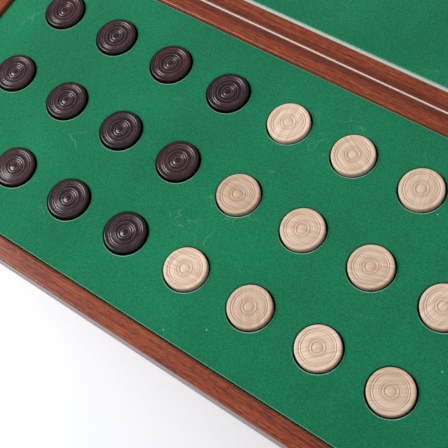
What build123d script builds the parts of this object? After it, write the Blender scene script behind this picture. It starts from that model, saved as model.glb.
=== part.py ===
"""A folding wooden checkers case, lying open with both hollow sides up.

Closed, it is a flat box whose two outer faces are the two halves of a checkers board.
Open, as here, the board lies face down at z = 0 and the rims of both halves face up.
The near half (negative y) holds a flocked insert with a pocket for each checker.
The far half (positive y) is shut by a plain flocked panel, which keeps the checkers
in their pockets when the case is closed. The seam between the halves is at y = 0.
"""

from build123d import *
import os

os.makedirs("parts", exist_ok=True)

# Playing face
square = 43.0
squares_along = 8
rows_per_half = 4
border = 28.0
inlay_width = 1.5
veneer_thickness = 0.6
veneer_joint = 0.1
board_thickness = 4.0

# Rails that stand round each half
rail_width = 11.0
half_depth = 25.0
rabbet_width = 5.0
rail_edge_radius = 1.0
seam_gap = 1.0
closed_gap = 0.3

# Flocked insert of the near half
insert_recess = 2.8
insert_front_gap = 1.5
insert_seam_gap = 0.3
insert_end_gap = 0.75
insert_corner_radius = 1.5
insert_edge_ease = 0.4
backing_thickness = 2.0
backing_inset = 1.0
batten_width = 12.0

# Pockets, in rows along the case
pockets_along = 8
pocket_rows = 3
pocket_front_margin = 38.25
pocket_seam_margin = 34.25
pocket_end_margin = 37.75
pocket_clearance = 1.2

# Checkers
checker_diameter = 24.8
checker_thickness = 8.0
checker_proud = 2.0
checker_edge_radius = 0.7
rim_land = 2.15
ring_groove_width = 0.7
ring_groove_depth = 0.45
ring_groove_gap = 0.25
face_recess = 0.2
centre_ring_radius = 4.4
centre_ring_width = 0.8
button_radius = 2.4
button_height = 0.15

# Flocked panel of the far half
cover_thickness = 3.0
cover_proud = 0.4
cover_edge_bevel = 0.5
cover_bevel_width = 2.3

# Butt hinges across the seam
hinge_inset = 60.0
hinge_length = 36.0
knuckle_count = 5
knuckle_gap = 0.2
knuckle_radius = 1.8
leaf_thickness = 1.2
leaf_back_margin = 1.8
leaf_to_knuckle = 0.3
leaf_fit = 0.1
hinge_pin_radius = 0.9
running_fit = 0.05
pin_head_radius = 1.4
pin_head_length = 0.8
barrel_clearance = 0.4

# Countersunk screws in the hinge leaves
screws_per_leaf = 3
screw_end_margin = 5.0
screw_radius = 1.1
screw_head_radius = 2.1
screw_length = 9.0
screw_point = 2.0
screw_fit = 0.05
screw_slot_width = 0.5
screw_slot_depth = 0.5

# Swing hooks on the long outer faces
hook_inset = 75.0
hook_height = 12.5
hook_thickness = 1.2
hook_standoff = 0.3
hook_eye_radius = 4.0
hook_arm_width = 5.0
hook_head_radius = 5.0
hook_tab_radius = 2.6
hook_tab_reach = 6.0
hook_neck_radius = 1.5
hook_slot_clearance = 0.4
hook_slot_angle = 20.0
hook_fastener_head_radius = 3.0
hook_fastener_head_height = 1.2
hook_fastener_shank_radius = 1.25
hook_fastener_depth = 8.0
hook_pivot_fit = 0.08

# Sizes that follow from the ones above
case_length = squares_along * square + 2 * border
half_width = rows_per_half * square + border
half_seam = seam_gap / 2
board_top = veneer_thickness + board_thickness
well_length = case_length - 2 * rail_width
well_seam_side = half_seam + rail_width
well_outer_side = half_width - rail_width
hinge_axis_height = half_depth + closed_gap / 2
insert_top = half_depth - insert_recess
insert_thickness = checker_thickness - checker_proud
pocket_floor = insert_top - insert_thickness
backing_bottom = pocket_floor - backing_thickness
insert_length = well_length - 2 * insert_end_gap
insert_outer_edge = well_outer_side - insert_front_gap
insert_seam_edge = well_seam_side + insert_seam_gap
pocket_radius = checker_diameter / 2 + pocket_clearance
pocket_pitch = (insert_length - 2 * pocket_end_margin) / (pockets_along - 1)
pocket_span = insert_outer_edge - insert_seam_edge - pocket_front_margin - pocket_seam_margin
row_pitch = pocket_span / (pocket_rows - 1)
cover_top = half_depth + cover_proud
cover_bottom = cover_top - cover_thickness
hinge_places = [-(case_length / 2 - hinge_inset), case_length / 2 - hinge_inset]
leaf_outer_edge = well_seam_side - leaf_back_margin
leaf_inner_edge = knuckle_radius + leaf_to_knuckle
leaf_bottom = half_depth - leaf_thickness
screw_row = (leaf_outer_edge + leaf_inner_edge) / 2
screw_spacing = (hinge_length - 2 * screw_end_margin) / (screws_per_leaf - 1)
hook_places = [-(case_length / 2 - hook_inset), case_length / 2 - hook_inset]
hook_reach = 2 * (hinge_axis_height - hook_height)
hook_back = half_width + hook_standoff
fastener_head_base = hook_back + hook_thickness + hook_standoff

NEAR, FAR = -1, 1
LEFT, RIGHT = -1, 1
HALVES = {NEAR: "near", FAR: "far"}
ENDS = {LEFT: "left", RIGHT: "right"}


def save(part, name):
    part.label = name
    export_step(part, f"parts/{name}.step")


def row_places(half, row):
    """The y of both edges of a row of squares, row 0 at the outer edge."""
    outer = half_width - border - row * square
    inner = max(outer - square, half_seam)
    return half * outer, half * inner


# Rails

def rail_section():
    """Section of an outer rail: x runs inward from the outer face, y runs up."""
    with BuildSketch() as section:
        with BuildLine():
            Polyline(
                (0, 0),
                (rail_width - rabbet_width, 0),
                (rail_width - rabbet_width, board_top),
                (rail_width, board_top),
                (rail_width, half_depth),
                (0, half_depth),
                close=True,
            )
        make_face()
        outer_corners = section.vertices().group_by(Axis.X)[0]
        rim_corner = section.vertices().group_by(Axis.X)[-1].sort_by(Axis.Y)[-1:]
        fillet(outer_corners + rim_corner, radius=rail_edge_radius)
    return section.sketch


def mitre_plane(half, end):
    """The upright plane of a mitred corner, its normal pointing away from the long rail."""
    corner = (end * case_length / 2, half * half_width, 0)
    return Plane(origin=corner, z_dir=(end, -half, 0))


def outer_long_rail(half):
    """The rail along the case, mitred at both ends and bored for what hooks onto it."""
    start = Plane(
        origin=(half * case_length / 2, half * half_width, 0),
        x_dir=(0, -half, 0),
        z_dir=(-half, 0, 0),
    )
    with BuildPart() as rail:
        with BuildSketch(start):
            add(rail_section())
        extrude(amount=case_length)
        for end in ENDS:
            split(bisect_by=mitre_plane(half, end), keep=Keep.BOTTOM)
        for place in hook_places:
            face = Plane(
                origin=(place, half * half_width, hook_height),
                x_dir=(1, 0, 0),
                z_dir=(0, -half, 0),
            )
            with BuildSketch(face):
                Circle(hook_fastener_shank_radius + screw_fit)
            extrude(amount=hook_fastener_depth + screw_fit, mode=Mode.SUBTRACT)
    return rail.part


def side_rail(half, end):
    """The rail across one end of a half, mitred outside and square at the seam."""
    start_y = -end * max(-end * half * half_width, -end * half * half_seam)
    start = Plane(
        origin=(end * case_length / 2, start_y, 0),
        x_dir=(-end, 0, 0),
        z_dir=(0, end, 0),
    )
    with BuildPart() as rail:
        with BuildSketch(start):
            add(rail_section())
        extrude(amount=half_width - half_seam)
        split(bisect_by=mitre_plane(half, end), keep=Keep.TOP)
    return rail.part


def seam_rail(half):
    """The rail along the seam, under the board, let in for the hinges."""
    middle = half * (half_seam + rail_width / 2)
    seam_face = Plane(
        origin=(-well_length / 2, middle, board_top),
        x_dir=(0, 1, 0),
        z_dir=(1, 0, 0),
    )
    with BuildPart() as rail:
        with BuildSketch(seam_face) as section:
            rectangle_height = half_depth - board_top
            Rectangle(rail_width, rectangle_height, align=(Align.CENTER, Align.MIN))
            fillet(section.vertices().group_by(Axis.Z)[-1], radius=rail_edge_radius)
        extrude(amount=well_length)
        for place in hinge_places:
            leaf_recess(half, place)
            barrel_notch(half, place)
            with BuildSketch(Plane.XY.offset(half_depth)):
                with Locations((place, half * screw_row)):
                    with GridLocations(screw_spacing, 0, screws_per_leaf, 1):
                        Circle(screw_radius + screw_fit)
            extrude(amount=-(screw_length + screw_fit), mode=Mode.SUBTRACT)
    return rail.part


def leaf_recess(half, place):
    """The shallow bed that one hinge leaf lies in, cut from the seam rail around it."""
    recess_length = hinge_length + 2 * leaf_fit
    recess_width = leaf_outer_edge + leaf_fit
    with Locations((place, half * recess_width / 2, leaf_bottom)):
        Box(
            recess_length,
            recess_width,
            2 * leaf_thickness,
            align=(Align.CENTER, Align.CENTER, Align.MIN),
            mode=Mode.SUBTRACT,
        )


def barrel_notch(half, place):
    """The deeper notch at the seam edge that clears the hinge barrel and its pin heads."""
    reach = knuckle_radius + barrel_clearance
    notch_length = hinge_length + 2 * (pin_head_length + barrel_clearance)
    with Locations((place, half * reach / 2, hinge_axis_height - reach)):
        Box(
            notch_length,
            reach,
            2 * reach,
            align=(Align.CENTER, Align.CENTER, Align.MIN),
            mode=Mode.SUBTRACT,
        )


# Playing face

def board_panel(half):
    """The plywood core of the board, lying in the rabbets and over the seam rail."""
    length = well_length + 2 * rabbet_width
    outer = well_outer_side + rabbet_width
    with BuildPart() as panel:
        with BuildSketch(Plane.XY.offset(veneer_thickness)):
            with Locations((0, half * (outer + half_seam) / 2)):
                Rectangle(length, outer - half_seam)
        extrude(amount=board_thickness)
    return panel.part


def squares_of_colour(half, dark):
    """Every veneer square of one colour on this half, each one its own piece."""
    with BuildPart() as squares:
        with BuildSketch():
            for row in range(rows_per_half):
                outer, inner = row_places(half, row)
                for column in range(squares_along):
                    row_from_seam = rows_per_half - 1 - row
                    row_number = row_from_seam if half == FAR else row_from_seam + 1
                    if (column + row_number) % 2 == (0 if dark else 1):
                        x = (column - (squares_along - 1) / 2) * square
                        with Locations((x, (outer + inner) / 2)):
                            Rectangle(square - veneer_joint, abs(outer - inner) - veneer_joint)
        extrude(amount=veneer_thickness)
    return squares.part


def band_strips(half, outer_x, outer_y, width):
    """Three mitred veneer strips round the squares: along the case and down both ends."""
    inner_x = outer_x - width
    inner_y = outer_y - width
    joint = veneer_joint / 2
    with BuildPart() as strips:
        with BuildSketch():
            with BuildLine():
                Polyline(
                    (-outer_x + 2 * joint, half * outer_y),
                    (outer_x - 2 * joint, half * outer_y),
                    (inner_x - joint, half * (inner_y + joint)),
                    (-inner_x + joint, half * (inner_y + joint)),
                    close=True,
                )
            make_face()
            for end in ENDS:
                with BuildLine():
                    Polyline(
                        (end * outer_x, half * (outer_y - 2 * joint)),
                        (end * (inner_x + joint), half * (inner_y - joint)),
                        (end * (inner_x + joint), half * half_seam),
                        (end * outer_x, half * half_seam),
                        close=True,
                    )
                make_face()
        extrude(amount=veneer_thickness)
    return strips.part


# Insert, cover and what carries them

def insert_panel():
    """The flocked panel with a through hole for each checker."""
    centre_y = -(insert_outer_edge + insert_seam_edge) / 2
    rows_centre_y = -(insert_outer_edge - pocket_front_margin - pocket_span / 2)
    with BuildPart() as panel:
        with BuildSketch(Plane.XY.offset(pocket_floor)):
            with Locations((0, centre_y)):
                RectangleRounded(
                    insert_length, insert_outer_edge - insert_seam_edge, insert_corner_radius
                )
            with Locations((0, rows_centre_y)):
                with GridLocations(pocket_pitch, row_pitch, pockets_along, pocket_rows):
                    Circle(pocket_radius, mode=Mode.SUBTRACT)
        extrude(amount=insert_thickness)
        top_face = panel.faces().sort_by(Axis.Z)[-1]
        chamfer(top_face.edges(), length=insert_edge_ease)
    return panel.part


def insert_backing():
    """The thin board glued under the insert: the floor of every pocket."""
    outer = insert_outer_edge - backing_inset
    seam = insert_seam_edge + backing_inset
    with BuildPart() as backing:
        with BuildSketch(Plane.XY.offset(backing_bottom)):
            with Locations((0, -(outer + seam) / 2)):
                Rectangle(insert_length - 2 * backing_inset, outer - seam)
        extrude(amount=backing_thickness)
    return backing.part


def battens(half, top):
    """Three bars glued inside the board panel: by the outer rail, midway, by the seam."""
    outermost = well_outer_side - batten_width / 2
    innermost = well_seam_side + batten_width / 2
    with BuildPart() as bars:
        with BuildSketch(Plane.XY.offset(board_top)):
            with Locations((0, half * (outermost + innermost) / 2)):
                with GridLocations(0, (outermost - innermost) / 2, 1, 3):
                    Rectangle(well_length, batten_width)
        extrude(amount=top - board_top)
    return bars.part


def cover_panel():
    """The plain flocked panel of the far half, its seam edge bevelled and a little proud."""
    near_edge, far_edge = insert_seam_edge, insert_outer_edge
    with BuildPart() as panel:
        with BuildSketch(Plane.XY.offset(cover_bottom)):
            with Locations((0, (near_edge + far_edge) / 2)):
                RectangleRounded(insert_length, far_edge - near_edge, insert_corner_radius)
        extrude(amount=cover_thickness)
        top_face = panel.faces().sort_by(Axis.Z)[-1]
        seam_edge = top_face.edges().filter_by(Axis.X).sort_by(Axis.Y)[0]
        chamfer(seam_edge, length=cover_edge_bevel, length2=cover_bevel_width, reference=top_face)
    return panel.part


# Checkers

def checker_face_outline():
    """One turned face from its edge inward, as radius and depth below the highest ring."""
    outer_groove = checker_diameter / 2 - rim_land
    outer_groove_end = outer_groove - ring_groove_width
    inner_groove = outer_groove_end - ring_groove_gap
    inner_groove_end = inner_groove - ring_groove_width
    return [
        (outer_groove, 0),
        ((outer_groove + outer_groove_end) / 2, ring_groove_depth),
        (outer_groove_end, face_recess / 2),
        (inner_groove, face_recess / 2),
        ((inner_groove + inner_groove_end) / 2, ring_groove_depth),
        (inner_groove_end, face_recess),
        (centre_ring_radius + centre_ring_width, face_recess),
        (centre_ring_radius + centre_ring_width / 2, ring_groove_depth),
        (centre_ring_radius, face_recess),
        (button_radius, face_recess),
    ]


def checker(centre):
    """A turned wooden disc with the same rings and centre button on both faces."""
    edge = centre.X + checker_diameter / 2
    crown_depth = face_recess - button_height
    with BuildPart() as disc:
        with BuildSketch(Plane.XZ.offset(-centre.Y)) as section:
            with BuildLine():
                for side in (-1, 1):
                    face_z = centre.Z + side * checker_thickness / 2
                    outline = [
                        (centre.X + radius, face_z - side * depth)
                        for radius, depth in checker_face_outline()
                    ]
                    Polyline([(edge, centre.Z), (edge, face_z)] + outline)
                    crown = (centre.X, face_z - side * crown_depth)
                    TangentArc(crown, outline[-1], tangent=(1, 0))
                    Line(crown, (centre.X, centre.Z))
            make_face()
            edge_corners = section.vertices().group_by(Axis.X)[-1]
            top_and_bottom = [edge_corners.sort_by(Axis.Z)[0], edge_corners.sort_by(Axis.Z)[-1]]
            fillet(top_and_bottom, radius=checker_edge_radius)
        revolve(axis=Axis(origin=centre, direction=(0, 0, 1)))
    return disc.part


# Hinges

def knuckle_centres(half, place):
    """The knuckles of one leaf along its barrel: the near leaf has the odd ones out."""
    pitch = hinge_length / knuckle_count
    first = 0 if half == NEAR else 1
    start = place - hinge_length / 2 + pitch / 2
    return [start + pitch * index for index in range(first, knuckle_count, 2)]


def hinge_leaf(half, place):
    """A brass leaf with its share of the knuckles, bored for the pin and countersunk."""
    knuckle_length = hinge_length / knuckle_count - knuckle_gap
    leaf_middle = half * (leaf_inner_edge + leaf_outer_edge) / 2
    with BuildPart() as leaf:
        with BuildSketch(Plane.XY.offset(leaf_bottom)):
            with Locations((place, leaf_middle)):
                Rectangle(hinge_length, leaf_outer_edge - leaf_inner_edge)
            for x in knuckle_centres(half, place):
                with Locations((x, half * leaf_inner_edge / 2)):
                    Rectangle(knuckle_length, leaf_inner_edge)
        extrude(amount=leaf_thickness)
        for x in knuckle_centres(half, place):
            knuckle_plane = Plane(
                origin=(x - knuckle_length / 2, 0, hinge_axis_height), z_dir=(1, 0, 0)
            )
            with BuildSketch(knuckle_plane):
                Circle(knuckle_radius)
            extrude(amount=knuckle_length)
        bore_plane = Plane(origin=(place, 0, hinge_axis_height), z_dir=(1, 0, 0))
        with BuildSketch(bore_plane):
            Circle(hinge_pin_radius + running_fit)
        extrude(amount=hinge_length, both=True, mode=Mode.SUBTRACT)
        with BuildSketch(Plane.XY.offset(half_depth)):
            with Locations((place, half * screw_row)):
                with GridLocations(screw_spacing, 0, screws_per_leaf, 1):
                    Circle(screw_head_radius + screw_fit)
        with BuildSketch(Plane.XY.offset(leaf_bottom)):
            with Locations((place, half * screw_row)):
                with GridLocations(screw_spacing, 0, screws_per_leaf, 1):
                    Circle(screw_radius + screw_fit)
        loft_each_hole(leaf)
    return leaf.part


def loft_each_hole(leaf):
    """Cuts the cone of each countersink between its two waiting circles."""
    upper = [face for face in leaf.pending_faces if face.center().Z > leaf_bottom + screw_fit]
    lower = [face for face in leaf.pending_faces if face.center().Z <= leaf_bottom + screw_fit]
    leaf.pending_faces = []
    for wide, narrow in zip(
        sorted(upper, key=lambda face: face.center().X),
        sorted(lower, key=lambda face: face.center().X),
    ):
        loft([narrow, wide], mode=Mode.SUBTRACT)


def hinge_pin(place):
    """The pin through all the knuckles, with a low dome at each end."""
    axis_z = hinge_axis_height
    shoulder = hinge_length / 2
    tip = shoulder + pin_head_length
    with BuildPart() as pin:
        with BuildSketch(Plane.XZ):
            with BuildLine():
                Polyline(
                    (place - shoulder, axis_z + pin_head_radius),
                    (place - shoulder, axis_z + hinge_pin_radius),
                    (place + shoulder, axis_z + hinge_pin_radius),
                    (place + shoulder, axis_z + pin_head_radius),
                )
                for side in (-1, 1):
                    TangentArc(
                        (place + side * tip, axis_z),
                        (place + side * shoulder, axis_z + pin_head_radius),
                        tangent=(0, 1),
                    )
                Line((place - tip, axis_z), (place + tip, axis_z))
            make_face()
        revolve(axis=Axis(origin=(place, 0, axis_z), direction=(1, 0, 0)))
    return pin.part


def hinge_screws(half):
    """All countersunk wood screws on one side of the seam, each with a driving slot."""
    with BuildPart() as screws:
        for place in hinge_places:
            for index in range(screws_per_leaf):
                x = place + (index - (screws_per_leaf - 1) / 2) * screw_spacing
                y = half * screw_row
                with BuildSketch(Plane.XZ.offset(-y)):
                    with BuildLine():
                        Polyline(
                            (x, half_depth),
                            (x + screw_head_radius, half_depth),
                            (x + screw_radius, leaf_bottom),
                            (x + screw_radius, half_depth - screw_length + screw_point),
                            (x, half_depth - screw_length),
                            close=True,
                        )
                    make_face()
                revolve(axis=Axis(origin=(x, y, 0), direction=(0, 0, 1)))
                with Locations((x, y, half_depth)):
                    Box(
                        2 * screw_head_radius,
                        screw_slot_width,
                        2 * screw_slot_depth,
                        mode=Mode.SUBTRACT,
                    )
    return screws.part


# Hooks

def swing_hook(end):
    """A flat brass hook at rest: it points along the case and swings up to catch its stud."""
    place = hook_places[0] if end == LEFT else hook_places[1]
    hook_plane = Plane(
        origin=(place, hook_back, hook_height), x_dir=(-end, 0, 0), z_dir=(0, end, 0)
    )
    catch_path = CenterArc((0, 0), hook_reach, 0, hook_slot_angle)
    with BuildPart() as hook:
        with BuildSketch(hook_plane):
            Circle(hook_eye_radius)
            with Locations((hook_reach / 2, 0)):
                Rectangle(hook_reach, hook_arm_width)
            with Locations((hook_reach, 0)):
                Circle(hook_head_radius)
            with Locations((hook_reach + hook_tab_reach / 2, 0)):
                Rectangle(hook_tab_reach, 2 * hook_tab_radius)
            with Locations((hook_reach + hook_tab_reach, 0)):
                Circle(hook_tab_radius)
            Circle(hook_neck_radius + hook_pivot_fit, mode=Mode.SUBTRACT)
            SlotArc(
                catch_path,
                2 * (hook_neck_radius + hook_slot_clearance),
                mode=Mode.SUBTRACT,
            )
        extrude(amount=end * hook_thickness)
    return hook.part


def hook_fasteners(half):
    """The pair of shouldered brass screws on one long face: hook pivots or catch studs."""
    point = half * (half_width - hook_fastener_depth)
    point_end = half * (half_width - hook_fastener_depth + screw_point)
    face = half * half_width
    head_base = half * fastener_head_base
    head_top = half * (fastener_head_base + hook_fastener_head_height)
    shank = hook_height + hook_fastener_shank_radius
    neck = hook_height + hook_neck_radius
    head = hook_height + hook_fastener_head_radius
    with BuildPart() as fasteners:
        for place in hook_places:
            with BuildSketch(Plane.YZ.offset(place)):
                with BuildLine():
                    Polyline(
                        (head_top, hook_height),
                        (point, hook_height),
                        (point_end, shank),
                        (face, shank),
                        (face, neck),
                        (head_base, neck),
                        (head_base, head),
                    )
                    TangentArc((head_top, hook_height), (head_base, head), tangent=(0, 1))
                make_face()
            revolve(axis=Axis(origin=(place, 0, hook_height), direction=(0, 1, 0)))
            with Locations((place, head_top, hook_height)):
                Box(
                    2 * hook_fastener_head_radius,
                    2 * screw_slot_depth,
                    screw_slot_width,
                    mode=Mode.SUBTRACT,
                )
    return fasteners.part


# Both halves of the case
panel_outer_x = well_length / 2 + rabbet_width
panel_outer_y = well_outer_side + rabbet_width
field_half_length = squares_along * square / 2
field_outer_y = rows_per_half * square
banding_width = panel_outer_x - field_half_length - inlay_width

for half, half_name in HALVES.items():
    long_name = "front" if half == NEAR else "back"
    save(outer_long_rail(half), f"{half_name}_{long_name}_rail")
    for end, end_name in ENDS.items():
        save(side_rail(half, end), f"{half_name}_{end_name}_rail")
    save(seam_rail(half), f"{half_name}_seam_rail")
    save(board_panel(half), f"{half_name}_board_panel")
    save(squares_of_colour(half, dark=True), f"{half_name}_dark_squares")
    save(squares_of_colour(half, dark=False), f"{half_name}_light_squares")
    save(
        band_strips(half, panel_outer_x, panel_outer_y, banding_width),
        f"{half_name}_border_veneer",
    )
    save(
        band_strips(
            half, field_half_length + inlay_width, field_outer_y + inlay_width, inlay_width
        ),
        f"{half_name}_inlay_line",
    )

save(insert_panel(), "near_insert_panel")
save(insert_backing(), "near_insert_backing")
save(battens(NEAR, backing_bottom), "near_battens")
save(cover_panel(), "far_cover_panel")
save(battens(FAR, cover_bottom), "far_battens")

# Hinges and hooks
for place, end_name in zip(hinge_places, ENDS.values()):
    for half, half_name in HALVES.items():
        save(hinge_leaf(half, place), f"{end_name}_hinge_{half_name}_leaf")
    save(hinge_pin(place), f"{end_name}_hinge_pin")
for half, half_name in HALVES.items():
    save(hinge_screws(half), f"{half_name}_hinge_screws")
for end, end_name in ENDS.items():
    save(swing_hook(end), f"{end_name}_hook")
save(hook_fasteners(FAR), "hook_pivot_screws")
save(hook_fasteners(NEAR), "catch_studs")

# Checkers: the dark ones fill the left half of the insert and the light ones the right
dark_columns = pockets_along // 2
counts = {"dark": 0, "light": 0}
for column in range(pockets_along):
    colour = "dark" if column < dark_columns else "light"
    for row in range(pocket_rows):
        counts[colour] += 1
        centre = Vector(
            (column - (pockets_along - 1) / 2) * pocket_pitch,
            -insert_outer_edge + pocket_front_margin + row * row_pitch,
            pocket_floor + checker_thickness / 2,
        )
        save(checker(centre), f"{colour}_checker_{counts[colour]:02d}")
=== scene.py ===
"""A folding wooden checkers case, dressed: an add-on laid out as one script.

The case lies open with its board face down. The near half holds 24 turned checkers in
a green flocked insert, the far half is shut by a plain flocked panel, and brass hinges
and hooks join and close the two halves. All lengths are metres unless a name says mm.
"""

import math
import random

import bpy
from mathutils import Matrix, Vector


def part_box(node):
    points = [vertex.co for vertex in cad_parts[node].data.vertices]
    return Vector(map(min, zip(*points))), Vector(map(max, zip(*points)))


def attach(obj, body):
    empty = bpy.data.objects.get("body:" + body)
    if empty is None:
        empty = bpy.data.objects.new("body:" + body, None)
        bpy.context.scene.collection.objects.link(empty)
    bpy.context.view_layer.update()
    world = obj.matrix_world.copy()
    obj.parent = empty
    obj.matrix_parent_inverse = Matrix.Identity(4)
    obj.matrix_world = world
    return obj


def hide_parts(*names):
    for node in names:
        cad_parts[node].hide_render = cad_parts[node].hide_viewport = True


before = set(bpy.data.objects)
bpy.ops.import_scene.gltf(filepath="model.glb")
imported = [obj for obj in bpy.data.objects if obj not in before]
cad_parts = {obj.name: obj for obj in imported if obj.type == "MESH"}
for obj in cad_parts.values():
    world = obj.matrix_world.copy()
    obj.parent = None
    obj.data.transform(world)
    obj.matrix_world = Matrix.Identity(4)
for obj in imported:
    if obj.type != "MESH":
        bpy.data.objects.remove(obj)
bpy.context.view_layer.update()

bl_info = {
    "name": "Folding Checkers Case",
    "version": (1, 0, 0),
    "blender": (4, 5, 0),
    "location": "View3D > Sidebar > Checkers Case",
    "description": "Builds the finish of a folding wooden checkers case around its frame",
    "category": "Object",
}

MM = 0.001
# Places nearer than this are one place, and a point this far past a line is clear of it
TOUCHING = 0.01 * MM
CLEAR = 0.1 * MM
# Edges that turn by less than this are shaded smooth
SMOOTH_BELOW = math.radians(50)


def linear(hex_colour):
    """An sRGB hex colour as linear red, green, blue and full alpha."""
    channels = [int(hex_colour[i : i + 2], 16) / 255 for i in (1, 3, 5)]
    return tuple(
        c / 12.92 if c <= 0.04045 else ((c + 0.055) / 1.055) ** 2.4 for c in channels
    ) + (1.0,)


def colour_setting(name, description, hex_colour):
    """A colour that a user may change."""
    return bpy.props.FloatVectorProperty(
        name=name,
        description=description,
        subtype="COLOR",
        size=4,
        min=0,
        max=1,
        default=linear(hex_colour),
    )


def length_setting(name, description, millimetres):
    """A length that a user may change."""
    return bpy.props.FloatProperty(
        name=name,
        description=description,
        default=millimetres * MM,
        unit="LENGTH",
        precision=5,
    )


class CheckerSettings(bpy.types.PropertyGroup):
    """The turned discs."""

    segments: bpy.props.IntProperty(
        name="Facets", description="Facets round one checker", default=88, min=24
    )
    edge_round: length_setting("Edge round", "Radius sanded onto both edges", 0.7)
    light_wood: colour_setting("Beech", "Lacquered plain beech", "#e7d3bd")
    light_grain: colour_setting("Beech grain", "Darker growth lines of the beech", "#cba684")
    dark_wood: colour_setting("Stained beech", "Beech under a brown black stain", "#13080f")
    dark_grain: colour_setting("Stained grain", "Grain where the stain took less", "#351a20")


class FlockSettings(bpy.types.PropertyGroup):
    """The flocked panels."""

    edge_round: length_setting("Edge round", "Round of a flocked edge", 0.4)
    edge_wear_and_highlight: length_setting("Edge wear and highlight", "Thin flock on the flat beside an edge", 0.2)
    bevel_drop: length_setting("Bevel drop", "How far the cover's seam edge drops", 0.5)
    bevel_width: length_setting("Bevel width", "Width of the bevel on that edge", 2.3)
    pocket_clearance: length_setting("Pocket clearance", "Pocket wall to checker", 1.2)
    pocket_facets: bpy.props.IntProperty(
        name="Pocket facets", description="Facets round one pocket", default=72, min=24
    )
    rubbed_and_lit_side: bpy.props.FloatVectorProperty(
        name="Rubbed and lit side",
        description="The way from a pocket's middle to its worn side, painted lighter as a highlight",
        size=2,
        default=(0.5, -0.866),
    )
    pile: colour_setting("Pile", "Green nylon flock", "#158456")
    pile_shade: colour_setting("Pile shade", "The flock between its clumps", "#0c6543")
    pile_edge: colour_setting("Pile edge", "Thin flock on an edge, its glue showing", "#a6c6b2")
    board_edge: colour_setting("Board edge", "Pale cut edge of the panel's board", "#c9bdb1")
    floor_pile: colour_setting("Floor pile", "Darker flock on the pocket floors, partly painted shade", "#103a28")
    floor_shade: colour_setting("Floor shade", "The same flock between its clumps", "#08241a")


class RailSettings(bpy.types.PropertyGroup):
    """The stained rails."""

    stain: colour_setting("Stain", "Mahogany stain on the open face", "#8c3b1f")
    stain_dark: colour_setting("Dark stain", "Stain pooled in the grain", "#4a1a11")
    stain_light: colour_setting("Light stain", "Stain rubbed thin on dense grain", "#ad5a2c")
    # Painted shade for the outer sides, multiplied onto their stain
    side_shade: colour_setting("Side shade", "Painted shade that multiplies the colour of outer sides", "#b4bfd2")
    fade_from: length_setting("Fade from", "Below a rim, where that starts to fade", 0.7)
    fade_to: length_setting("Fade to", "Below a rim, where that has faded out", 0.3)
    bare: colour_setting("Bare wood", "Unstained wood of the sawn meeting faces", "#fff2e6")
    seam_band: length_setting("Seam band", "Width of the darker stain along the seam", 4.5)
    bare_reach: length_setting("Bare reach", "Bare wood, from the middle of the seam", 0.6)
    bare_from: length_setting("Bare from", "Lowest bare wood on the meeting faces", 22.6)


class BoardSettings(bpy.types.PropertyGroup):
    """The playing face."""

    square: length_setting("Square", "Side of one veneer square", 43)
    dark_square: colour_setting("Dark square", "Walnut veneer", "#4a2c20")
    light_square: colour_setting("Light square", "Maple veneer", "#d9b98a")
    inlay: colour_setting("Inlay line", "Pale stringing", "#e0c79c")
    plywood: colour_setting("Plywood", "Birch plywood edge", "#c9a878")


class BrassSettings(bpy.types.PropertyGroup):
    """Hinges, hooks and screws."""

    brass: colour_setting("Brass", "Lacquered brass", "#d8b162")
    tarnish: colour_setting("Tarnish", "Brass dulled by handling", "#9c7434")


class StageSettings(bpy.types.PropertyGroup):
    """Floor, lights and camera."""

    floor: colour_setting("Floor", "Plain pale floor", "#f1f1f3")
    camera_place: bpy.props.FloatVectorProperty(
        name="Camera",
        description="Where the camera stands, from a fit to the photograph",
        size=3,
        default=(0.2348, -0.2429, 0.5089),
        unit="LENGTH",
    )


MULTIPLY = {"operation": "MULTIPLY"}
SUBTRACT = {"operation": "SUBTRACT"}
LESS_THAN = {"operation": "LESS_THAN"}
GREATER_THAN = {"operation": "GREATER_THAN"}
ABSOLUTE = {"operation": "ABSOLUTE"}
COLOUR_MIX = {"data_type": "RGBA"}
COLOUR_PRODUCT = {"data_type": "RGBA", "blend_type": "MULTIPLY"}
# A mix node's sockets for colours: its share, its two colours and its result
SHARE, FIRST, SECOND, RESULT = 0, 6, 7, 2


def add_node(tree, kind, settings=None, inputs=None, output=0, stops=()):
    """Adds one node and gives back one of its outputs.

    settings are its own fields, inputs are values or other nodes' outputs, and stops are
    the places and colours of a colour ramp.
    """
    node = tree.nodes.new(kind)
    for name, value in (settings or {}).items():
        setattr(node, name, value)
    for name, value in (inputs or {}).items():
        if isinstance(value, bpy.types.NodeSocket):
            tree.links.new(value, node.inputs[name])
        else:
            node.inputs[name].default_value = value
    for index, (place, colour) in enumerate(stops):
        elements = node.color_ramp.elements
        element = elements[index] if index < 2 else elements.new(place)
        element.position = place
        element.color = colour
    return node.outputs[output]


def span(value, low, high, first=0.0, last=1.0):
    """Inputs that carry a value from low..high to first..last and hold it at both ends."""
    return {"Value": value, "From Min": low, "From Max": high, "To Min": first, "To Max": last}


def new_material(name, finish):
    """A material whose shader has the values of finish."""
    material = bpy.data.materials.new(name)
    material.use_nodes = True
    shader = material.node_tree.nodes["Principled BSDF"]
    for socket, value in finish.items():
        shader.inputs[socket].default_value = value
    return material, material.node_tree, shader


def wood_grain(tree, place, streak_mm, detail=4.0, distortion=0.6):
    """Noise in streaks of that size along x, y and z."""
    stretched = add_node(
        tree,
        "ShaderNodeMapping",
        inputs={"Vector": place, "Scale": [1000 / size for size in streak_mm]},
    )
    return add_node(
        tree,
        "ShaderNodeTexNoise",
        inputs={
            "Vector": stretched,
            "Scale": 1.0,
            "Detail": detail,
            "Roughness": 0.6,
            "Distortion": distortion,
        },
    )


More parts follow.
